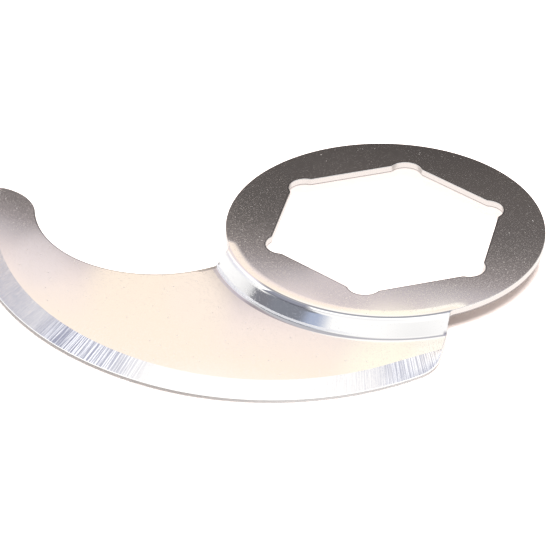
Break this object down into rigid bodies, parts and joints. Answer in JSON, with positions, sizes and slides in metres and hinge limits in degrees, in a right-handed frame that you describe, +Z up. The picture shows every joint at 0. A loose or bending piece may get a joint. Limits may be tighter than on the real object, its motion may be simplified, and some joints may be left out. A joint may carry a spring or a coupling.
{
  "type": "food processor blade",
  "caption": "Sickle cutting blade of a food processor: a flat ring with a hexagonal drive hole, pressed down through a curved step into one bevel-ground blade.",
  "frame": {"origin": "on the axis of the drive hole, at the underside of the ring", "axes": "+Z up along the drive axis, towards the ground side; the blade's tip lies towards -X, its heel towards -Y"},
  "size_m": [0.164, 0.1278, 0.006],
  "materials": {
    "stainless_steel": "fine rolled satin, with a cross-ground bevel"
  },
  "bodies": {
    "root": {"cutter_blade": "stainless_steel"}
  },
  "joints": []
}
